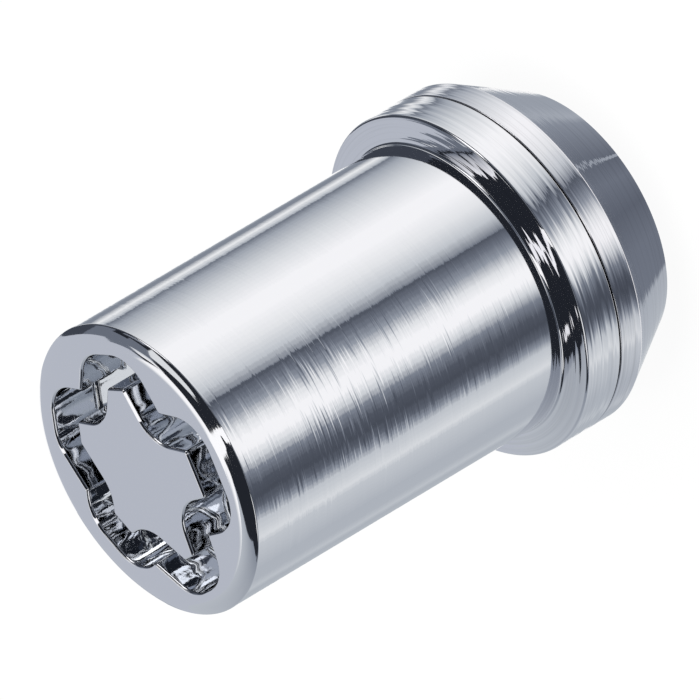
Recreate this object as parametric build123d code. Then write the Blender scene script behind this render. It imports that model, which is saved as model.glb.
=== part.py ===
from build123d import *
import os
from math import cos, radians, sin, tan

# Locking wheel nut with a captive cone-seat washer, sizes in millimetres.
# Z runs along the stud. The nut stands on its open end, and the key face looks up.

# Nut body
overall_length = 40.0
shank_diameter = 22.0
key_chamfer_width = 0.75
key_chamfer_angle = 30.0
key_face_round = 2.75
key_end_round = 0.15
flange_diameter = 26.0
flange_thickness = 3.05
flange_edge_round = 0.25
shoulder_angle = 14.5
root_fillet = 0.25

# Stud thread, M12 x 1.5, cut in a blind bore
thread_minor_diameter = 10.376
bore_depth = 26.4
drill_point_angle = 118.0
mouth_diameter = 13.4
mouth_angle = 90.0

# Spigot that carries the washer, with its end swaged outwards
spigot_diameter = 15.2
lip_overhang = 0.9
lip_edge = 0.4
flare_angle = 90.0

# Largest share of a straight run that the bends at its two ends may take up
bend_room = 0.95

# Key groove, a closed wavy slot in the key face
key_groove_width = 2.5
key_groove_depth = 4.0
key_groove_edge = 0.2
key_floor_round = 0.4
key_rim = 1.5
key_tip_round = 0.3

# Each lobe of the key: where its two corners and the notch after it stand, in degrees round the face,
# and how far out each of them lies, in percent of the key's reach.
key_lobes = (
    {"turns": (33, 56, 86), "reaches": (99, 94, 76)},
    {"turns": (98, 126, 137), "reaches": (92, 95, 73)},
    {"turns": (166, 186, 206), "reaches": (98, 97, 60)},
    {"turns": (230, 273, 297), "reaches": (96, 93, 57)},
    {"turns": (325, 351, 375), "reaches": (95, 93, 69)},
)

# Cone-seat washer, turned flush with the flange
washer_band = 1.9
washer_edge_round = 0.2
seat_angle = 60.0
seat_rim = 1.05
seat_end_round = 0.3

# Running clearances between the washer and the nut, and the edges along the line where they part
washer_gap = 0.1
split_edge_round = 0.1
spigot_clearance = 0.1
lip_clearance = 0.25
lip_recess = 0.6

# Radii and heights that follow from the sizes above
shank_radius = shank_diameter / 2
flange_radius = flange_diameter / 2
bore_radius = thread_minor_diameter / 2
mouth_radius = mouth_diameter / 2
spigot_radius = spigot_diameter / 2
lip_radius = spigot_radius + lip_overhang
washer_radius = flange_radius
recess_radius = lip_radius + lip_clearance
seat_end_radius = recess_radius + seat_rim
seat_height = (washer_radius - seat_end_radius) / tan(radians(seat_angle / 2))

washer_top = seat_height + washer_band
flange_bottom = washer_top + washer_gap
flange_top = flange_bottom + flange_thickness
shoulder_width = flange_radius - shank_radius
shoulder_top = flange_top + shoulder_width * tan(radians(shoulder_angle))
root_round = min(root_fillet, shoulder_width / 2)
key_chamfer_drop = key_chamfer_width * tan(radians(key_chamfer_angle))
key_chamfer_slope = key_chamfer_width / cos(radians(key_chamfer_angle))
key_end_room = key_end_round * tan(radians(90 - key_chamfer_angle) / 2)
key_face_room = bend_room * (key_chamfer_slope - key_end_room)
key_face_bend = min(key_face_round, key_face_room / tan(radians(key_chamfer_angle / 2)))
flare_height = lip_overhang / tan(radians(flare_angle / 2))
lip_top = lip_recess + lip_edge
flare_top = lip_top + flare_height
mouth_depth = (mouth_radius - bore_radius) / tan(radians(mouth_angle / 2))
bore_top = lip_recess + bore_depth
drill_point = bore_radius / tan(radians(drill_point_angle / 2))
key_reach = shank_radius - key_rim - key_groove_width / 2
key_floor = overall_length - key_groove_depth


def turned(*outline):
    """A solid of revolution about Z, from closed outline curves drawn as (radius, height)."""
    section = Plane.XZ * make_face(Curve() + list(outline))
    return revolve(section, Axis.Z)


def nut_blank():
    """Shank, sloped flange and swaged spigot, before the bore and the key groove are cut."""
    side = FilletPolyline(
        (0, overall_length),
        (shank_radius - key_chamfer_width, overall_length),
        (shank_radius, overall_length - key_chamfer_drop),
        (shank_radius, shoulder_top),
        (flange_radius, flange_top),
        (flange_radius, flange_bottom),
        (spigot_radius, flange_bottom),
        (spigot_radius, flare_top),
        (lip_radius, lip_top),
        (lip_radius, lip_recess),
        (0, lip_recess),
        radius=(key_face_bend, key_end_round, root_round, flange_edge_round, split_edge_round, 0, 0, 0, 0),
    )
    axis_line = Line((0, lip_recess), (0, overall_length))
    return turned(side, axis_line)


def stud_bore():
    """Blind bore at the thread's minor diameter, with a countersunk mouth and a drill point."""
    outline = Polyline(
        (0, lip_recess),
        (mouth_radius, lip_recess),
        (bore_radius, lip_recess + mouth_depth),
        (bore_radius, bore_top),
        (0, bore_top + drill_point),
        close=True,
    )
    return turned(outline)


def key_corners():
    """Corners of the groove's middle line, lobe by lobe round the key face."""
    corners = []
    for lobe in key_lobes:
        for turn, percent in zip(lobe["turns"], lobe["reaches"]):
            reach = key_reach * percent / 100
            corners.append(Vector(reach * cos(radians(turn)), reach * sin(radians(turn))))
    return corners


def bend_that_fits(corners, wanted):
    """The wanted bend radius, or less where two neighbouring bends would run into each other."""
    count = len(corners)
    room_per_radius = []
    for i in range(count):
        before = corners[i - 1] - corners[i]
        after = corners[(i + 1) % count] - corners[i]
        room_per_radius.append(1 / tan(radians(before.get_angle(after) / 2)))
    bend = wanted
    for i in range(count):
        run = (corners[i] - corners[i - 1]).length
        bend = min(bend, bend_room * run / (room_per_radius[i] + room_per_radius[i - 1]))
    return bend


def groove_side(corners, bend, shift):
    """Face inside one side of the groove: its middle line moved outwards by the shift, with the bends kept."""
    count = len(corners)
    points = []
    bends = []
    for i in range(count):
        before = (corners[i] - corners[i - 1]).normalized()
        after = (corners[(i + 1) % count] - corners[i]).normalized()
        out_before = Vector(before.Y, -before.X)
        out_after = Vector(after.Y, -after.X)
        points.append(corners[i] + (out_before + out_after) * (shift / (1 + out_before.dot(out_after))))
        turns_left = before.cross(after).Z > 0
        bends.append(bend + shift if turns_left else bend - shift)
    return make_face(FilletPolyline(*points, radius=bends, close=True))


def key_groove():
    """Cutter for the groove: the band between its two sides, half a width either way of the middle line."""
    corners = key_corners()
    half_width = key_groove_width / 2
    bend = bend_that_fits(corners, half_width + key_tip_round)
    band = groove_side(corners, bend, half_width) - groove_side(corners, bend, -half_width)
    return extrude(Plane.XY.offset(key_floor) * band, key_groove_depth)


def nut_body():
    """The forged and turned nut, one piece from key face to swaged lip."""
    nut = nut_blank() - stud_bore() - key_groove()
    floor_edges = nut.edges().filter_by_position(Axis.Z, key_floor, key_floor)
    nut = fillet(floor_edges, key_floor_round)
    # The rim's own circle is the longest edge of the key face. It rolls into the chamfer and is left alone.
    face_edges = nut.edges().group_by(Axis.Z)[-1].sort_by(SortBy.LENGTH)
    return fillet(face_edges[:-1], key_groove_edge)


def seat_washer():
    """Loose washer with a straight band and a cone seat, turning on the spigot above the lip."""
    bore = spigot_radius + spigot_clearance
    recess_top = lip_top + lip_clearance
    throat = recess_top + (recess_radius - bore) / tan(radians(flare_angle / 2))
    outline = FilletPolyline(
        (bore, washer_top),
        (washer_radius, washer_top),
        (washer_radius, seat_height),
        (seat_end_radius, 0),
        (recess_radius, 0),
        (recess_radius, recess_top),
        (bore, throat),
        radius=(0, split_edge_round, washer_edge_round, seat_end_round, 0, 0, 0),
        close=True,
    )
    return turned(outline)


os.makedirs("parts", exist_ok=True)
for name, solid in {"nut_body": nut_body(), "seat_washer": seat_washer()}.items():
    export_step(solid, f"parts/{name}.step")
    print(name, "volume", round(solid.volume), "mm3")
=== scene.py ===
# %% [markdown]
# # A locking wheel nut in bright chrome
# A locking wheel nut is a round, closed nut that only its own key can turn. The key fits a wavy groove in
# the end face. This one carries a loose washer with a cone seat, so the cone can stand still in the wheel
# while the nut turns on it. The lesson builds both pieces as smooth meshes, plates them with chrome, and
# lights them as a studio would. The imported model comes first: it is the fixed frame that every piece here
# is built on.

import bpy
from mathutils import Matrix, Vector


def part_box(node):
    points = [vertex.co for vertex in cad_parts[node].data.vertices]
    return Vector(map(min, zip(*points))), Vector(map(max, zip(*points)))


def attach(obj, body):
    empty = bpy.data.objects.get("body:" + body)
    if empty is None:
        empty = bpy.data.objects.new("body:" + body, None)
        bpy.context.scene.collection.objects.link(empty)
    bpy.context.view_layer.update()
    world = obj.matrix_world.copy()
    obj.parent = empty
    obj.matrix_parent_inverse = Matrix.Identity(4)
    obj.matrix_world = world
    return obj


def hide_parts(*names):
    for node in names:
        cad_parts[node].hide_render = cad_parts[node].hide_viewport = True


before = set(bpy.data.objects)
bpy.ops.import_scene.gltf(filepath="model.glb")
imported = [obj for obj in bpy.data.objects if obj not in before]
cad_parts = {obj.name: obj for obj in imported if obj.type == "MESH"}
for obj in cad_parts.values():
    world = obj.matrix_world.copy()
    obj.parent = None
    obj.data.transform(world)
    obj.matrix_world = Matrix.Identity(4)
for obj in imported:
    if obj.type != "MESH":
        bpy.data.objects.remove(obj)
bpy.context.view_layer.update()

# %% [markdown]
# ## Tools for the lesson
# Blender's module bpy holds the scene, bmesh edits a mesh point by point, and mathutils has vectors and
# matrices. Nothing else is needed, apart from what comes with Python.

# %% Import the tools
from math import atan2, ceil, cos, degrees, pi, radians, sin, tan

import bmesh
import bpy
from mathutils import Matrix, Vector

print("Blender", bpy.app.version_string)

# %% [markdown]
# ## The sizes of the turned pieces
# Blender works in metres, but a lathe drawing is easier to read in millimetres, so sizes are written in
# millimetres here. The outer sizes come from the frame. The others repeat the drawing of the nut, because
# the frame only gives boxes.

# %% Sizes
mm = 0.001
nut_low, nut_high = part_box("nut_body")
washer_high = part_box("seat_washer")[1]

length = nut_high.z / mm
lip_recess = nut_low.z / mm
flange_radius = nut_high.x / mm
washer_top = washer_high.z / mm

shank_radius = 11.0
key_chamfer_width = 0.75
key_chamfer_angle = radians(30)
key_face_round = 2.75
key_end_round = 0.15
flange_thickness = 3.05
flange_edge_round = 0.25
split_edge_round = 0.1
shoulder_angle = radians(14.5)
root_fillet = 0.25
washer_gap = 0.1

flange_bottom = washer_top + washer_gap
flange_top = flange_bottom + flange_thickness
shoulder_top = flange_top + (flange_radius - shank_radius) * tan(shoulder_angle)
key_chamfer_drop = key_chamfer_width * tan(key_chamfer_angle)
print("Nut", length, "mm long, flange from", round(flange_bottom, 3), "to", round(flange_top, 3), "mm")

# %% [markdown]
# ## Outlines with rounded corners
# A chrome surface shows every fault, because it mirrors the room. A corner that is modelled sharp looks
# cut out of paper, so every corner here is a small arc. The helper below walks along an outline, puts an
# arc at each corner, and keeps the direction that the surface faces at every point. Those directions
# become the mesh's normals later, so that a mirror image runs smoothly across the facets. A Bevel modifier
# rounds edges too, but it gives no such exact normals.

# %% Outline helper
finest_turn = radians(7.5)
fewest_steps = 2


def left_of(direction):
    """The direction a quarter turn to the left."""
    return Vector((-direction.y, direction.x))


def turned_by(direction, angle):
    """A 2-D direction turned to the left by an angle."""
    return direction * cos(angle) + left_of(direction) * sin(angle)


def rounded(corners, rounds):
    """(place, facing) along an outline that faces left of its way, with an arc at each inner corner."""
    corners = [Vector(corner) for corner in corners]
    path = [(corners[0], left_of((corners[1] - corners[0]).normalized()))]
    for before, corner, after, radius in zip(corners, corners[1:], corners[2:], rounds):
        arrive = (corner - before).normalized()
        leave = (after - corner).normalized()
        bend = atan2(arrive.x * leave.y - arrive.y * leave.x, arrive.dot(leave))
        side = 1 if bend > 0 else -1
        start = corner - arrive * radius * tan(abs(bend) / 2)
        centre = start + left_of(arrive) * radius * side
        steps = max(fewest_steps, ceil(abs(bend) / finest_turn))
        for step in range(steps + 1):
            facing = turned_by(left_of(arrive), bend * step / steps)
            path.append((centre - facing * radius * side, facing))
    path.append((corners[-1], left_of((corners[-1] - corners[-2]).normalized())))
    return path


def rounded_loop(corners, rounds):
    """The same for a closed outline, where every corner is rounded."""
    return rounded(corners + corners[:2], rounds[1:] + rounds[:1])[1:-1]


print("Arcs are cut into steps of", round(degrees(finest_turn), 1), "degrees at most")

# %% [markdown]
# ## A skin of rings
# Both pieces are skins that grow ring by ring: round the shank, along the groove, down the thread. Blender
# could spin an outline with the Screw modifier and cut the groove with a Boolean, but a Boolean leaves
# long thin faces with bad normals on the key face. Laying the rings by hand gives clean quads, one closed
# surface, and the exact normals from the outline.

# %% Skin helper
def added(name, data):
    """A new object in the scene, from its mesh, camera or lamp."""
    thing = bpy.data.objects.new(name, data)
    bpy.context.scene.collection.objects.link(thing)
    return thing


class Skin:
    """A closed mesh that grows from rings of points, each with the direction that it faces."""

    def __init__(self):
        self.mesh = bmesh.new()
        self.facings = []

    def ring(self, places, facings=None):
        """Adds a ring of points, given in millimetres. With no facings, Blender works the normals out."""
        self.facings += facings or [Vector()] * len(places)
        return [self.mesh.verts.new(place * mm) for place in places]

    def band(self, ring, other):
        """Quads between two rings with as many points."""
        for i in range(len(ring)):
            self.mesh.faces.new((ring[i - 1], ring[i], other[i], other[i - 1]))

    def bands(self, rings):
        """Quads from each ring to the next."""
        for ring, other in zip(rings, rings[1:]):
            self.band(ring, other)

    def flat(self, *rings):
        """Fills the flat area inside one ring, or between two."""
        edges = [self.mesh.edges.get((ring[i - 1], ring[i])) for ring in rings for i in range(len(ring))]
        bmesh.ops.triangle_fill(self.mesh, use_beauty=True, edges=edges)

    def tip(self, ring, place, facing):
        """Closes a ring with a fan of triangles to one point."""
        point = self.ring([place], [facing])[0]
        for i in range(len(ring)):
            self.mesh.faces.new((ring[i - 1], ring[i], point))

    def piece(self, name):
        """Turns the skin into an object, with smooth shading and the exact normals."""
        bmesh.ops.recalc_face_normals(self.mesh, faces=self.mesh.faces)
        data = bpy.data.meshes.new(name)
        self.mesh.to_mesh(data)
        self.mesh.free()
        data.shade_smooth()
        data.normals_split_custom_set_from_vertices(self.facings)
        data.calc_loop_triangles()
        print(name, "has", len(data.loop_triangles), "triangles")
        return added(name, data)


# %% [markdown]
# ## Rings from a lathe outline
# A lathe turns the work while the tool follows an outline. The rings do the same: each point of an
# outline, given as its distance from the axis and its height, becomes one ring round the axis. Many points
# go into a ring, because the edge of a mirror shows every corner.

# %% Lathe rings
up = Vector((0, 0, 1))
lathe_points = 360
lathe_turns = [2 * pi * i / lathe_points for i in range(lathe_points)]
lathe_ways = [Vector((cos(turn), sin(turn), 0)) for turn in lathe_turns]


def turned_rings(skin, outline):
    """Rings for a whole lathe outline, joined in order."""
    rings = []
    for place, facing in outline:
        places = [way * place.x + up * place.y for way in lathe_ways]
        facings = [way * facing.x + up * facing.y for way in lathe_ways]
        rings.append(skin.ring(places, facings))
    skin.bands(rings)
    return rings


print("A turned ring has", len(lathe_ways), "points")

# %% [markdown]
# ## The key groove
# The groove is what makes the nut a lock: a closed slot that wanders in and out round the face. Its middle
# line has five lobes, each with two outer corners and a notch after it, all rounded with one bend. Seen
# along the groove, its section is a slot with a rounded brim on each side and rounded corners at the
# floor. Each point of that section becomes one ring, moved sideways from the middle line, so brim, walls
# and floor follow the wave exactly. A curve with a bevel would twist and overlap at the tight bends.

# %% Groove line
groove_width = 2.5
key_rim = 1.5
key_tip_round = 0.3
key_reach = shank_radius - key_rim - groove_width / 2

# Each lobe: where its two corners and the notch after it stand, in degrees round the face, and how far out
# each of them lies, in percent of the key's reach.
key_lobes = (
    {"turns": (33, 56, 86), "reaches": (99, 94, 76)},
    {"turns": (98, 126, 137), "reaches": (92, 95, 73)},
    {"turns": (166, 186, 206), "reaches": (98, 97, 60)},
    {"turns": (230, 273, 297), "reaches": (96, 93, 57)},
    {"turns": (325, 351, 375), "reaches": (95, 93, 69)},
)


def groove_middle():
    """The groove's middle line as (place, outward direction) pairs."""
    corners = []
    for lobe in key_lobes:
        for turn, percent in zip(lobe["turns"], lobe["reaches"]):
            reach = key_reach * percent / 100
            corners.append((reach * cos(radians(turn)), reach * sin(radians(turn))))
    bend = groove_width / 2 + key_tip_round
    return [(place, -facing) for place, facing in rounded_loop(corners, [bend] * len(corners))]


print("The groove has", len(groove_middle()), "points round it")

# %% Groove rings
groove_depth = 4.0
groove_brim = 0.2
groove_floor_round = 0.4


def groove_section():
    """The slot's section as (sideways and up, facing) pairs, from the island's brim to the rim's."""
    side = groove_width / 2
    land = side + 2 * groove_brim
    corners = [(-land, 0), (-side, 0), (-side, -groove_depth), (side, -groove_depth), (side, 0), (land, 0)]
    return rounded(corners, [groove_brim, groove_floor_round, groove_floor_round, groove_brim])[1:-1]


def groove_rings(skin):
    """The island and the groove. Gives the ring where the groove's outer brim meets the rim."""
    middle = groove_middle()
    rings = []
    for shift, facing in groove_section():
        places = [(place + out * shift.x).to_3d() + up * (length + shift.y) for place, out in middle]
        facings = [out.to_3d() * facing.x + up * facing.y for place, out in middle]
        rings.append(skin.ring(places, facings))
    skin.bands(rings)
    skin.flat(rings[0])
    return rings[-1]


print("The groove has", len(groove_section()), "points across it")

# %% [markdown]
# ## The stud thread
# Inside is an M12 thread with a pitch of 1.5 mm. A thread can be made by spinning a tooth with the Screw
# modifier, but its ends then need trimming. Here the bore is laid out in level rings, and each point asks
# how deep the thread is at its height and turn. The countersunk mouth and the run-out at the end then come
# by themselves.

# %% Thread rings
thread_pitch = 1.5
thread_minor_radius = 5.188
thread_major_radius = 6.0
thread_crest = thread_pitch / 4
thread_flank = radians(30)
thread_plain_end = 1.0
thread_run_out = 2.0
thread_points = 144
rows_per_pitch = 14
bore_depth = 26.4
bore_top = lip_recess + bore_depth
drill_point_angle = radians(118)
mouth_radius = 6.7


def thread_radius(turn, height):
    """How far the bore's wall is from the axis, with the helix cut into it."""
    along = (height / thread_pitch - turn / (2 * pi)) % 1
    from_crest = abs(along - 0.5) * thread_pitch - thread_crest / 2
    depth = min(max(from_crest / tan(thread_flank), 0), thread_major_radius - thread_minor_radius)
    share = (bore_top - thread_plain_end - height) / thread_run_out
    mouth = mouth_radius - (height - lip_recess)
    return max(thread_minor_radius + depth * min(max(share, 0), 1), mouth)


def thread_rings(skin):
    """The threaded bore up to its drill point. Gives its first ring, at the mouth."""
    rows = ceil(bore_depth / thread_pitch * rows_per_pitch)
    turns = [2 * pi * i / thread_points for i in range(thread_points)]
    rings = []
    for row in range(rows + 1):
        height = lip_recess + bore_depth * row / rows
        radii = [thread_radius(turn, height) for turn in turns]
        rings.append(skin.ring([Vector((r * cos(t), r * sin(t), height)) for r, t in zip(radii, turns)]))
    skin.bands(rings)
    drill_point = thread_minor_radius / tan(drill_point_angle / 2)
    skin.tip(rings[-1], up * (bore_top + drill_point), -up)
    return rings[0]


print("The thread makes", round(bore_depth / thread_pitch, 1), "turns")

# %% [markdown]
# ## The nut
# The nut is turned from one bar: shank, flange, and a spigot under it whose end is swaged outwards to keep
# the washer on. Its outline runs from the rim of the key face down to the open end. The groove closes it
# at the top and the thread at the bottom, so the whole nut is one closed skin.

# %% Build the nut
spigot_radius = 7.6
spigot_round = 0.15
lip_radius = 8.5
lip_edge = 0.4
lip_round = 0.12
mouth_land = 0.4

lip_top = lip_recess + lip_edge
flare_top = lip_top + lip_radius - spigot_radius


def nut_outline():
    """The nut's lathe outline, from the rim of the key face to the land round the bore."""
    corners = [
        (shank_radius - key_chamfer_width - key_face_round, length),
        (shank_radius - key_chamfer_width, length),
        (shank_radius, length - key_chamfer_drop),
        (shank_radius, shoulder_top),
        (flange_radius, flange_top),
        (flange_radius, flange_bottom),
        (spigot_radius, flange_bottom),
        (spigot_radius, flare_top),
        (lip_radius, lip_top),
        (lip_radius, lip_recess),
        (mouth_radius + mouth_land, lip_recess),
    ]
    rounds = [key_face_round, key_end_round, root_fillet, flange_edge_round, split_edge_round]
    rounds += [spigot_round, spigot_round, lip_round, lip_round]
    return rounded(corners, rounds)[1:]


def build_nut():
    """The whole nut as one skin."""
    skin = Skin()
    brim = groove_rings(skin)
    lathe = turned_rings(skin, nut_outline())
    skin.flat(brim, lathe[0])
    skin.flat(lathe[-1], thread_rings(skin))
    return skin.piece("nut")


nut = build_nut()
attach(nut, "nut")
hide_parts("nut_body")

# %% [markdown]
# ## The cone-seat washer
# The washer is loose on the spigot. Its outside is a straight band, flush with the flange, and then the 60
# degree cone that sits in the wheel. Inside, a recess clears the swaged lip. It is a closed outline spun
# round the axis, so its last ring joins its first.

# %% Build the washer
seat_slope = radians(30)
seat_rim = 1.05
seat_end_round = 0.3
washer_edge_round = 0.2
washer_inner_round = 0.1
washer_band = 1.9
spigot_clearance = 0.1
lip_clearance = 0.25

washer_bore = spigot_radius + spigot_clearance
recess_radius = lip_radius + lip_clearance
recess_top = lip_top + lip_clearance
throat = recess_top + recess_radius - washer_bore
seat_end_radius = recess_radius + seat_rim
seat_height = washer_top - washer_band


def build_washer():
    """The washer as one closed skin."""
    corners = [
        (washer_bore, washer_top),
        (flange_radius, washer_top),
        (flange_radius, seat_height),
        (seat_end_radius, 0),
        (recess_radius, 0),
        (recess_radius, recess_top),
        (washer_bore, throat),
    ]
    rounds = [washer_inner_round, split_edge_round, washer_edge_round, seat_end_round]
    rounds += [washer_inner_round] * 3
    skin = Skin()
    rings = turned_rings(skin, rounded_loop(corners, rounds))
    skin.band(rings[-1], rings[0])
    return skin.piece("washer")


washer = build_washer()
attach(washer, "washer")
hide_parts("seat_washer")

# %% [markdown]
# ## Nodes in few words
# A shader is a small network of nodes, and most of them are one sum or one noise. Wiring them one by one
# takes many lines, so the first helpers add a node and fill its inputs, from other nodes or with plain
# values. The others are the few sums that the finishes below need.

# %% Node helpers
def fill(tree, socket, source):
    """Joins an input to another node's output, or gives it a plain value."""
    if isinstance(source, bpy.types.NodeSocket):
        tree.links.new(source, socket)
    else:
        socket.default_value = source


def node(tree, kind, *sources, **settings):
    """Adds a node. Sources fill its inputs in order, settings its properties or, by name, other inputs."""
    made = tree.nodes.new(kind)
    inputs = list(zip(made.inputs, sources))
    for key, value in settings.items():
        if hasattr(made, key):
            setattr(made, key, value)
        else:
            inputs.append((made.inputs[key.title()], value))
    for socket, source in inputs:
        fill(tree, socket, source)
    return made


def sums(tree, operation, *sources):
    """Numbers joined by a sum, a difference or the like."""
    return node(tree, "ShaderNodeMath", *sources, operation=operation).outputs["Value"]


def product(tree, first, *others):
    """All the numbers multiplied."""
    for other in others:
        first = sums(tree, "MULTIPLY", first, other)
    return first


def arrows(tree, operation, *sources, **settings):
    """Vectors joined by a sum, a product or the like."""
    return node(tree, "ShaderNodeVectorMath", *sources, operation=operation, **settings).outputs["Vector"]


def ranged(tree, source, low, high, first, last):
    """A number carried over from one range to another, and no further."""
    return node(tree, "ShaderNodeMapRange", source, low, high, first, last).outputs["Result"]


# %% [markdown]
# ## Nodes that know the lathe
# This helper works out what a turner would ask about any point of the work: how high it is, how far from
# the axis, and which way leads round the axis. Height and reach added together grow along every turned
# face, flat or straight, so noise that is squeezed along that sum gives lines round all of them. A texture
# with its own UV map could do it too, but every face would have to be unrolled first.

# %% Lathe nodes
line_roughness = 0.6


class LathePlace:
    """What a shader can ask about a point of turned work, in metres."""

    def __init__(self, tree):
        self.tree = tree
        self.place = node(tree, "ShaderNodeTexCoord").outputs["Object"]
        self.facing = node(tree, "ShaderNodeNewGeometry").outputs["Normal"]
        parts = node(tree, "ShaderNodeSeparateXYZ", self.place).outputs
        out = node(tree, "ShaderNodeCombineXYZ", parts["X"], parts["Y"], 0).outputs["Vector"]
        self.height = parts["Z"]
        self.reach = node(tree, "ShaderNodeVectorMath", out, operation="LENGTH").outputs["Value"]
        self.onward = arrows(tree, "NORMALIZE", arrows(tree, "CROSS_PRODUCT", up, out))
        along = sums(tree, "ADD", self.height, self.reach)
        self.rolled = node(tree, "ShaderNodeCombineXYZ", parts["X"], parts["Y"], along).outputs["Vector"]

    def lines(self, around, along, detail):
        """Noise in lines round the axis: so many spots in a metre round it, and so many along it."""
        spots = arrows(self.tree, "MULTIPLY", self.rolled, (around, around, along))
        settings = {"scale": 1, "detail": detail, "roughness": line_roughness}
        return node(self.tree, "ShaderNodeTexNoise", spots, **settings).outputs["Fac"]

    def fade(self, measure, start, end, first, last):
        """A number that goes from first to last while a measure goes from start to end, in millimetres."""
        return ranged(self.tree, measure, start * mm, end * mm, first, last)


# %% [markdown]
# ## Tool marks on the shank
# Chrome plate is thin, so it keeps every mark of the steel under it. Fine streaks cover all the work.
# Deeper scuffs, where the nut was handled, stand in patches on one side of the shank. Each mark tips the
# mirror a little round the axis, so the edges of the reflections break up. A bump map could do the same,
# but it needs very fine rendering. Tipping the normal is exact at any size.

# %% Streaks and scuffs
streak_lines = {"around": 180, "along": 4500, "detail": 3}

scuff_lines = {"around": 300, "along": 8500, "detail": 1}
scuff_tilt = 0.15
scuff_range = (0.58, 0.78)
scuff_side = (-0.26, -0.97, 0)
side_fade = (10.1, 10.4)
side_least = 0.25
worn_fade = (12.0, 34.0)
worn_least = 0.35

scuff_patches = {"around": 120, "along": 250, "detail": 2}
patch_range = (0.4, 0.6)
patch_least = 0.3


def fine_streaks(lathe, tilt):
    """Short fine lines all over the piece."""
    return ranged(lathe.tree, lathe.lines(**streak_lines), 0, 1, -tilt, tilt)


def scuffs(lathe):
    """Deeper lines in patches on the scuffed side, stronger towards the key end."""
    tree = lathe.tree
    cuts = lathe.lines(**scuff_lines)
    one_way = ranged(tree, cuts, *scuff_range, 0, scuff_tilt)
    other_way = ranged(tree, cuts, 1 - scuff_range[0], 1 - scuff_range[1], 0, -scuff_tilt)
    towards = node(tree, "ShaderNodeVectorMath", lathe.place, scuff_side, operation="DOT_PRODUCT")
    on_side = lathe.fade(towards.outputs["Value"], *side_fade, side_least, 1)
    patches = ranged(tree, lathe.lines(**scuff_patches), *patch_range, patch_least, 1)
    worn = lathe.fade(lathe.height, *worn_fade, worn_least, 1)
    return product(tree, sums(tree, "ADD", one_way, other_way), worn, on_side, patches)


print("Scuffs grow from", worn_fade[0], "to", worn_fade[1], "mm above the washer's foot")

# %% [markdown]
# ## Turned lines and the dark gap
# Washer, flange and shoulder keep the long lines of the cutting tool, deepest on the shoulder, and the
# shank is polished. The narrow gap between flange and washer gets painted shade: the plate's colour is
# made darker there, so it mirrors less.

# %% Turned lines and gap
turned_marks = {"around": 30, "along": 5200, "detail": 2}
turned_tilt = 0.1
turned_range = (0.25, 0.75)
shoulder_share = 1.35
shoulder_fade = (flange_top, flange_top + 0.1)
shank_fade = (shoulder_top, shoulder_top + 0.3)

# The gap under the flange is darkened in the plate's colour: painted shade.
gap_shade_share = 0.95
gap_shade_spread = (0.1, 0.16)
gap_shade_fade = (flange_radius - 0.12, flange_radius - 0.03)


def below_shank(lathe):
    """One on washer, flange and shoulder, and zero on the shank."""
    return lathe.fade(lathe.height, *shank_fade, 1, 0)


def turned_lines(lathe):
    """Long lines left by the tool round washer, flange and shoulder, deepest on the shoulder."""
    tree = lathe.tree
    lines = lathe.lines(**turned_marks)
    marks = ranged(tree, lines, *turned_range, -turned_tilt, turned_tilt)
    deeper = lathe.fade(lathe.height, *shoulder_fade, 1, shoulder_share)
    return product(tree, marks, deeper, below_shank(lathe))


def painted_gap_shade(lathe):
    """How much of the plate's colour is left in the narrow gap under the flange, darkened as painted shade.
    """
    tree = lathe.tree
    middle = (washer_top + flange_bottom) / 2 * mm
    away = sums(tree, "ABSOLUTE", sums(tree, "SUBTRACT", lathe.height, middle))
    near = lathe.fade(away, *gap_shade_spread, 1, 0)
    inside = lathe.fade(lathe.reach, *gap_shade_fade, gap_shade_share, 0)
    return sums(tree, "SUBTRACT", 1, product(tree, near, inside))


print("The gap is dark up to", round(gap_shade_fade[0], 2), "mm from the axis")

# %% [markdown]
# ## The rippled groove
# The groove is forged or milled rather than turned, and plating never lies quite even in a narrow slot.
# Its walls are wavy mirrors that break the light into small pieces, and the plate's colour is made a
# little darker there as painted shade of the deep slot. A noise that is stretched down the wall tips the
# normal. It is kept to the groove by its reach and its height, and so stays off the flat key face. Real
# waves would need far more faces.

# %% Groove ripple
ripple_spots = (600, 600, 60)
ripple_size = 0.3
floor_ripple_share = 0.4
facing_range = (0.6, 0.95)
# How much the plate's colour darkens in the groove: painted shade of the deep slot.
groove_shade_tint = (0.05, 0.037, 0.04)

groove_outside = shank_radius - key_rim
groove_floor = length - groove_depth
outside_fade = (groove_outside - 0.1, groove_outside + 0.3)
brim_fade = (length - 0.4, length - 0.1)
bore_fade = (groove_floor - 3, groove_floor - 2)


def in_groove(lathe):
    """One inside the groove and zero on the key face, the shank and the bore."""
    inside = lathe.fade(lathe.reach, *outside_fade, 1, 0)
    below = lathe.fade(lathe.height, *brim_fade, 1, 0)
    above_bore = lathe.fade(lathe.height, *bore_fade, 0, 1)
    return product(lathe.tree, inside, below, above_bore)


def groove_ripple(lathe):
    """A tip of the normal for the groove, in waves that run down its walls and are calmer on its floor."""
    tree = lathe.tree
    facing_up = node(tree, "ShaderNodeSeparateXYZ", lathe.facing).outputs["Z"]
    floor_ripple = ripple_size * floor_ripple_share
    size = ranged(tree, facing_up, *facing_range, ripple_size, floor_ripple)
    spots = arrows(tree, "MULTIPLY", lathe.place, ripple_spots)
    waves = node(tree, "ShaderNodeTexNoise", spots, scale=1, detail=1).outputs["Color"]
    tips = arrows(tree, "SUBTRACT", waves, (0.5, 0.5, 0.5))
    return arrows(tree, "SCALE", tips, scale=product(tree, size, in_groove(lathe)))


def painted_groove_shade(lathe, colour):
    """The plate's colour, made a little darker in the groove as painted shade."""
    loss = arrows(lathe.tree, "SCALE", groove_shade_tint, scale=in_groove(lathe))
    return arrows(lathe.tree, "SUBTRACT", colour, loss)


print("The groove ripples from", groove_floor, "to", length, "mm")
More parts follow.
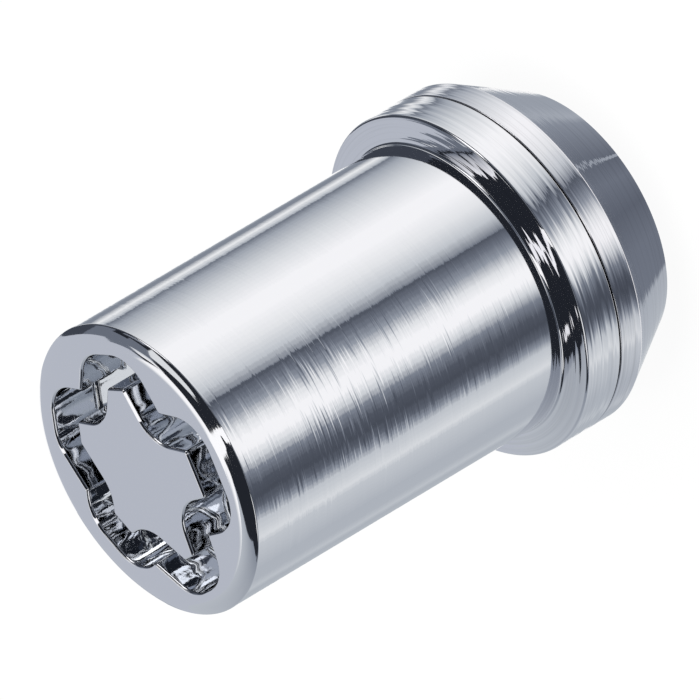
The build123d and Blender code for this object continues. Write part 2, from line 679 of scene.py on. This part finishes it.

# %% [markdown]
# ## Chrome over turned steel
# Chrome has no colour of its own to speak of: it is a mirror, a little darker than white and a little
# blue. The marks above tip its normal, some turned lines are darkened in its colour as painted shade of
# tiny grooves, and the roughness follows the fine streaks. One function plates both pieces, since only a
# few values differ. The washer is duller than the nut, because it was left rougher before plating.

# %% Chrome
# Dark lines in the plate's colour round washer, flange and shoulder: painted shade of tiny turned grooves.
turned_shade_lines = {"around": 60, "along": 6500, "detail": 2}
turned_shade_range = (0.5, 0.7)
rough_swing = 0.4


def chrome(name, colour, rough, line_shade, marks, grooved=False):
    """Bright chrome, with a function that gives its tool marks."""
    material = bpy.data.materials.new(name)
    material.use_nodes = True
    tree = material.node_tree
    lathe = LathePlace(tree)
    normal = arrows(tree, "ADD", lathe.facing, arrows(tree, "SCALE", lathe.onward, scale=marks(lathe)))
    if grooved:
        normal = arrows(tree, "ADD", normal, groove_ripple(lathe))
        colour = painted_groove_shade(lathe, colour)
    loss = ranged(tree, lathe.lines(**turned_shade_lines), *turned_shade_range, 0, line_shade)
    bright = sums(tree, "SUBTRACT", painted_gap_shade(lathe), product(tree, loss, below_shank(lathe)))
    smoothest, roughest = rough * (1 - rough_swing), rough * (1 + rough_swing)
    finish = {
        "Metallic": 1,
        "Base Color": arrows(tree, "SCALE", colour, scale=bright),
        "Roughness": ranged(tree, lathe.lines(**streak_lines), 0, 1, smoothest, roughest),
        "Normal": arrows(tree, "NORMALIZE", normal),
    }
    for socket, source in finish.items():
        fill(tree, tree.nodes["Principled BSDF"].inputs[socket], source)
    return material


# %% Plate the pieces
nut_streak_tilt = 0.015
washer_streak_tilt = 0.03
face_fade = (length - 0.4, length - 0.05)
face_share = 0.1


def nut_marks(lathe):
    """Streaks and scuffs on the shank, nearly none on the key face, and turned lines on the flange."""
    tree = lathe.tree
    handled = sums(tree, "ADD", fine_streaks(lathe, nut_streak_tilt), scuffs(lathe))
    off_face = lathe.fade(lathe.height, *face_fade, 1, face_share)
    return sums(tree, "ADD", product(tree, handled, off_face), turned_lines(lathe))


def washer_marks(lathe):
    """Streaks and turned lines all over."""
    return sums(lathe.tree, "ADD", fine_streaks(lathe, washer_streak_tilt), turned_lines(lathe))


nut_chrome = chrome(
    "nut chrome", colour=(0.88, 0.88, 0.91), rough=0.05, line_shade=0.08, marks=nut_marks, grooved=True
)
washer_chrome = chrome(
    "washer chrome", colour=(0.87, 0.865, 0.9), rough=0.1, line_shade=0.15, marks=washer_marks
)
nut.data.materials.append(nut_chrome)
washer.data.materials.append(washer_chrome)
print("Plated:", nut.name, "with", nut_chrome.name, "and", washer.name, "with", washer_chrome.name)

# %% [markdown]
# ## The camera
# The photograph was taken with a long lens from about 32 degrees above the end of the nut, with the camera
# rolled, so that the nut seems to lie across the picture. The camera stands where the outline of the nut
# fits the photograph. Turning the nut instead would take it out of the frame. Distances here are in
# metres, and the lens and its sensor in millimetres.

# %% Camera
camera_distance = 1.610
camera_lens = 1216.7
sensor_width = 36
camera_rise = radians(31.95)
camera_roll = radians(-120.7)
aim_right = 0.01405
aim_up = 0.00834

back = Vector((0, -cos(camera_rise), sin(camera_rise)))
upright = Vector((0, sin(camera_rise), cos(camera_rise)))
right = Vector((1, 0, 0)) * cos(camera_roll) + upright * sin(camera_roll)
above = back.cross(right)
key_face = up * length * mm

camera_data = bpy.data.cameras.new("camera")
camera_data.lens = camera_lens
camera_data.sensor_width = sensor_width
camera = added("camera", camera_data)
camera.rotation_euler = Matrix((right, above, back)).transposed().to_euler()
camera.location = key_face + right * aim_right + above * aim_up + back * camera_distance
bpy.context.scene.camera = camera
print("The camera stands at", [round(x, 4) for x in camera.location])

# %% [markdown]
# ## The floor
# The studio is white. Lighting a floor until it is white would burn out the nut, so it glows instead, but
# only for rays that see it: from the camera, from a mirror, or through glass. The part that doesn't glow
# is paper, and it still catches the nut's soft shadow.

# %% Floor
floor_size = 4.0
floor_drop = 0.02
floor_glow = 0.93
paper_white = (0.95, 0.95, 0.95, 1)


def seen_directly(tree):
    """One for camera, mirror and see-through rays, and zero for the rest."""
    rays = node(tree, "ShaderNodeLightPath").outputs
    camera_or_mirror = sums(tree, "MAXIMUM", rays["Is Camera Ray"], rays["Is Glossy Ray"])
    return sums(tree, "MAXIMUM", camera_or_mirror, rays["Is Transmission Ray"])


def bare_material(name):
    """A material with no nodes yet."""
    material = bpy.data.materials.new(name)
    material.use_nodes = True
    material.node_tree.nodes.clear()
    return material


def white_floor():
    """White paper that glows where it is seen and keeps part of the shadow."""
    material = bare_material("white floor")
    tree = material.node_tree
    paper = node(tree, "ShaderNodeBsdfDiffuse", paper_white).outputs["BSDF"]
    glow = node(tree, "ShaderNodeEmission").outputs["Emission"]
    share = product(tree, seen_directly(tree), floor_glow)
    mix = node(tree, "ShaderNodeMixShader", share, paper, glow).outputs["Shader"]
    node(tree, "ShaderNodeOutputMaterial", mix)
    return material


def stage_sheet(name, places, faces, material):
    """A sheet of the studio, from points in millimetres. It is no part of the nut."""
    data = bpy.data.meshes.new(name)
    data.from_pydata([place * mm for place in places], [], faces)
    data.materials.append(material)
    sheet = added(name, data)
    return sheet


half = floor_size / 2 / mm
corner_signs = ((-1, -1), (1, -1), (1, 1), (-1, 1))
floor_corners = [Vector((x * half, y * half, -floor_drop)) for x, y in corner_signs]
floor = stage_sheet("floor", floor_corners, [(0, 1, 2, 3)], white_floor())
print("The floor is", floor_size, "m wide")

# %% [markdown]
# ## The room and the lamp
# The room is white too where it is seen, and a little dimmer as a light. One soft lamp stands above the
# nut, hidden from the mirrors, and gives the shadow its direction.

# %% Room and lamp
room_light = 0.7
lamp_size = 0.5
lamp_power = 4
lamp_place = (0.1, -0.15, 0.7)

world = bpy.data.worlds.new("white room")
world.use_nodes = True
room = world.node_tree
walls = room.nodes["Background"]
fill(room, walls.inputs["Color"], (1, 1, 1, 1))
fill(room, walls.inputs["Strength"], ranged(room, seen_directly(room), 0, 1, room_light, 1))
bpy.context.scene.world = world

lamp_data = bpy.data.lights.new("soft lamp", "AREA")
lamp_data.size = lamp_size
lamp_data.energy = lamp_power
lamp = added("soft lamp", lamp_data)
lamp.location = lamp_place
lamp.rotation_euler = (key_face - lamp.location).to_track_quat("-Z", "Y").to_euler()
lamp.visible_glossy = False
print("Studio:", floor.name, world.name, lamp.name)

# %% [markdown]
# ## Cards round the nut
# A chrome part shows nothing but its surroundings, so a photographer draws its bands with cards: pale ones
# for the broad shine, black ones for the dark lines. Area lamps could do the same, but they would light
# the floor too. These cards glow with the tones that are kept in their meshes, and only mirror rays see
# them. Dark tones are a little bluer than pale ones.

# %% Card helpers
less_red = 0.14
more_blue = 0.34
hidden_from = ("camera", "diffuse", "shadow", "transmission")


def card_paint():
    """A finish that shows the tone kept in the mesh as the attribute tone."""
    material = bare_material("card paint")
    tree = material.node_tree
    tone = node(tree, "ShaderNodeAttribute", attribute_name="tone").outputs["Color"]
    glow = node(tree, "ShaderNodeEmission", tone).outputs["Emission"]
    node(tree, "ShaderNodeOutputMaterial", glow)
    material.cycles.emission_sampling = "NONE"
    return material


paint = card_paint()


def grey(level):
    """A grey that is bluer the darker it is."""
    dark = 1 - min(level, 1)
    return (level * (1 - less_red * dark), level, level * (1 + more_blue * dark ** 2))


def between(ends, share):
    """A number so far on the way from one end to the other."""
    return ends[0] + (ends[1] - ends[0]) * share


def mixed(first, second, share):
    """A tone on the way from one to another."""
    return [between(ends, share) for ends in zip(first, second)]


def card(name, columns, tones):
    """A card from columns of points in millimetres, with a tone for each point."""
    rows = len(columns[0])
    faces = []
    for i in range(len(columns) - 1):
        for j in range(rows - 1):
            first = i * rows + j
            faces.append((first, first + 1, first + rows + 1, first + rows))
    sheet = stage_sheet(name, [place for column in columns for place in column], faces, paint)
    shown = sheet.data.attributes.new("tone", "FLOAT_COLOR", "POINT")
    for k, point in enumerate(shown.data):
        point.color = (*tones[k // rows][k % rows], 1)
    for ray in hidden_from:
        setattr(sheet, f"visible_{ray}", False)
    print("Card:", name, "with", len(faces), "faces")


# %% [markdown]
# ## Cards on the floor
# From the camera, the upright shank and the flange mirror the floor. The helper sends a ray from the
# camera to a point of the nut, mirrors it there, and finds where it meets the floor, so each card can be
# laid out by the turn round the shank where it shows. Turns are degrees from +X, and 90 faces the camera.

# %% Floor card helpers
card_level = 0.1
card_step = 2.0
shank_rows = ((flange_radius, 3.0), (flange_radius, 10.0), (shank_radius, 12.0), (shank_radius, 130.0))


def way_at(turn):
    """The direction out from the axis at a turn."""
    return Vector((cos(radians(turn)), -sin(radians(turn)), 0))


def mirrored_floor(place, facing):
    """Where the camera sees the floor mirrored at a place on the nut, in millimetres."""
    ray = (place - camera.location / mm).normalized().reflect(facing)
    return place + ray * (card_level - place.z) / ray.z


def tones_along(stops):
    """(turn, tone) pairs in small steps along (turn, level) stops, with every stop among them."""
    steps = []
    for (low, first), (high, second) in zip(stops, stops[1:]):
        count = ceil((high - low) / card_step)
        for i in range(count):
            steps.append((between((low, high), i / count), mixed(grey(first), grey(second), i / count)))
    last_turn, last_level = stops[-1]
    return steps + [(last_turn, grey(last_level))]


def shank_card(name, stops):
    """A floor card that shows in the flange and the shank between two turns."""
    columns = []
    tones = []
    for turn, tone in tones_along(stops):
        way = way_at(turn)
        columns.append([mirrored_floor(way * radius + up * height, way) for radius, height in shank_rows])
        tones.append([tone] * len(shank_rows))
    card(name, columns, tones)


# %% Cards for the shank
shank_card("rear strip", [(7.5, 0.45), (11, 0.26), (15, 0.26), (20, 0.9), (24, 0.55), (25.5, 0.18)])
shank_card("broad softbox", [(25.5, 0.2), (30, 0.42), (42, 0.76), (54, 1.02), (60, 1.02), (68, 0.88),
                             (75, 0.64), (80.5, 0.2)])
shank_card("black line", [(80.5, 0.1), (84, 0.18), (88, 0.34)])
shank_card("narrow softbox", [(88, 0.34), (93, 0.86), (97, 1.02), (101, 1.02), (105, 0.74), (109, 0.24)])
shank_card("black flag", [(109, 0.24), (114, 0.1), (118, 0.08), (122, 0.13), (125, 0.3), (128, 0.62)])
shank_card("grey fill", [(128, 0.62), (132, 0.7), (135, 0.78), (138, 0.62), (150, 0.5), (157, 0.5),
                         (162, 0.58), (166, 0.48), (176, 0.5)])

# %% [markdown]
# ## Cards under the cone
# The cone seat leans over the floor and mirrors a narrow ring of it, close to the nut. It gets a dark card
# of its own, shaped by the same mirrored rays, and a thin pale slit that shows as a line across the cone.

# %% Cards for the cone seat
seat_shares = (-0.1, 0.5, 1.1)
seat_foot = 0.2
slit_lift = 0.02


def seat_card(name, stops, lift=0.0):
    """A floor card under the cone seat, lifted to lie on another."""
    columns = []
    tones = []
    for turn, tone in tones_along(stops):
        way = way_at(turn)
        facing = way * cos(seat_slope) - up * sin(seat_slope)
        high = mirrored_floor(way * flange_radius + up * seat_height, facing)
        low = mirrored_floor(way * seat_end_radius + up * seat_foot, facing)
        columns.append([between((low, high), share) + up * lift for share in seat_shares])
        tones.append([tone] * len(seat_shares))
    card(name, columns, tones)


seat_card("seat shade", [(33, 0.6), (37, 0.37), (48, 0.38), (55, 0.44), (59, 0.3), (78, 0.15), (86, 0.19),
                         (97, 0.14), (110, 0.19), (125, 0.2), (127, 0.46), (145, 0.52), (155, 0.74),
                         (165, 0.74)])
seat_card("light slit", [(77, 0.4), (78.2, 0.4)], lift=slit_lift)

# %% [markdown]
# ## Cards on a dome
# What faces up, such as the key face, the shoulder and the rolled rim, mirrors the room above and behind
# the nut. Those cards hang on a dome. Their places are bearings, in degrees from the camera's side towards
# +X, and rises above the floor. A card behind the dome only shows where no other card hides it.

# %% Dome card helpers
dome_radius = 350.0
dome_steps = 24
dome_shares = [i / dome_steps for i in range(dome_steps + 1)]


def greys(*levels):
    """A list of greys."""
    return [grey(level) for level in levels]


def on_dome(bearing, rise, distance):
    """A place so far from the nut's foot, by its bearing and its rise."""
    level = Vector((sin(radians(bearing)), -cos(radians(bearing)), 0))
    return (level * cos(radians(rise)) + up * sin(radians(rise))) * distance


def dome_card(name, bearings, rises, tones, top=None, behind=0.0):
    """A card between two bearings at its foot, or others at its top, and two rises.

    It has one tone, or two for its ends, or four: the foot's ends and then the top's."""
    corners = tones * (4 // len(tones))
    columns = []
    shades = []
    for across in dome_shares:
        edge = between(bearings, across), between(top or bearings, across)
        columns.append([on_dome(between(edge, high), between(rises, high), dome_radius + behind)
                        for high in dome_shares])
        foot_tone = mixed(corners[0], corners[1], across)
        top_tone = mixed(corners[2], corners[3], across)
        shades.append([mixed(foot_tone, top_tone, high) for high in dome_shares])
    card(name, columns, shades)


# %% The room behind the cards
back_tone = (0.5, 0.53, 0.59)

dome_card("dark room", bearings=(-180, 180), rises=(-2, 89), tones=greys(0.02), behind=50.0)
dome_card("back card", bearings=(153, 200), rises=(-2, 49), tones=[back_tone], behind=20.0)

# %% [markdown]
# ## Cards for the shoulder and the rim
# The shoulder slopes a little and the rim of the key face rolls over, so both mirror a strip of the dome
# from one side of the nut to the other. Pale and dark cards in turn give them the short bright and black
# bands of the photograph.

# %% Cards behind and beside the nut
dome_card("rear glow", bearings=(177, 189), top=(170, 189), rises=(39.5, 47),
          tones=greys(0.56, 0.56, 1.05, 1.05))
dome_card("rear softbox", bearings=(170, 189), top=(162, 189), rises=(47, 57), tones=greys(1.05))
dome_card("rear edge", bearings=(152, 162), rises=(52, 58), tones=greys(0.6, 1.05))
dome_card("rear dark", bearings=(133, 162), rises=(45, 52), tones=greys(0.17))
dome_card("side shade", bearings=(126, 152), rises=(52, 60), tones=greys(0.17))
dome_card("side fill", bearings=(112, 145), rises=(60, 76), tones=greys(0.8))
dome_card("left wall", bearings=(-160, -70), top=(-175, -132), rises=(-2, 55), tones=greys(0.54, 0.28),
          behind=10.0)
dome_card("side softbox", bearings=(84, 126), top=(84, 118), rises=(48, 57), tones=greys(1.05, 0.2))
dome_card("rear shade", bearings=(92, 153), rises=(-2, 36), tones=greys(0.06))
dome_card("rear wing", bearings=(126, 153), rises=(36, 45), tones=greys(0.17))

# %% [markdown]
# ## Cards for the groove
# The groove's walls mirror its floor, and its floor the dome in front of the nut. A strip over the nut and
# a card on either side of the camera put pieces of light into it. The small lamp makes one bright spot.

# %% Cards over and before the nut
arch_radius = 300.0


def arch_card(name, near_leans, far_leans, swings, tone):
    """A strip over the nut from the camera's side to the back, with its leans to the left at both ends."""
    columns = []
    for leans in zip(near_leans, far_leans):
        column = []
        for share in dome_shares:
            lean = radians(between(leans, share))
            swing = radians(between(swings, share))
            way = Vector((-sin(lean), -cos(lean) * cos(swing), cos(lean) * sin(swing)))
            column.append(way * arch_radius)
        columns.append(column)
    card(name, columns, [[tone] * len(dome_shares)] * len(columns))


arch_card("overhead strip", near_leans=(0, 15), far_leans=(0, 1), swings=(14, 140), tone=grey(1.1))
dome_card("front softbox", bearings=(60, 88), rises=(24, 44), tones=greys(1.7))
dome_card("front fill", bearings=(-88, -54), rises=(24, 44), tones=greys(0.9))
dome_card("small lamp", bearings=(-101, -90), rises=(51, 54.5), tones=greys(1.0))

# %% [markdown]
# ## Cards for the other sides
# The nut has to look like chrome from behind and from above as well. A low wall and rings on the floor,
# far out and close in, give its other sides something to mirror. The ring close in lies under the floor
# cards, and is the dark line where the nut stands on the floor.

# %% Cards all round
ring_steps = 48


def floor_ring(name, bearings, radii, tones, level=card_level):
    """A card on the floor between two bearings, with a tone for each radius."""
    columns = []
    for i in range(ring_steps + 1):
        bearing = between(bearings, i / ring_steps)
        columns.append([on_dome(bearing, 0, radius) + up * level for radius in radii])
    card(name, columns, [tones] * len(columns))


dome_card("low wall", bearings=(-90, 92), rises=(15, 29), tones=greys(0.25), behind=30.0)
floor_ring("dark floor", bearings=(-72, 150), radii=(215, 390), tones=greys(0.02, 0.02))
floor_ring("left floor", bearings=(-180, -72), radii=(215, 390), tones=greys(0.42, 0.42))
floor_ring("contact shade", bearings=(88, 272), radii=(9, 13, 15.5), tones=greys(0.3, 0.36, 0.5),
           level=card_level / 2)

# %% [markdown]
# ## The view
# The picture uses Blender's plain Standard view.

# %% Finish
bpy.context.scene.view_settings.view_transform = "Standard"
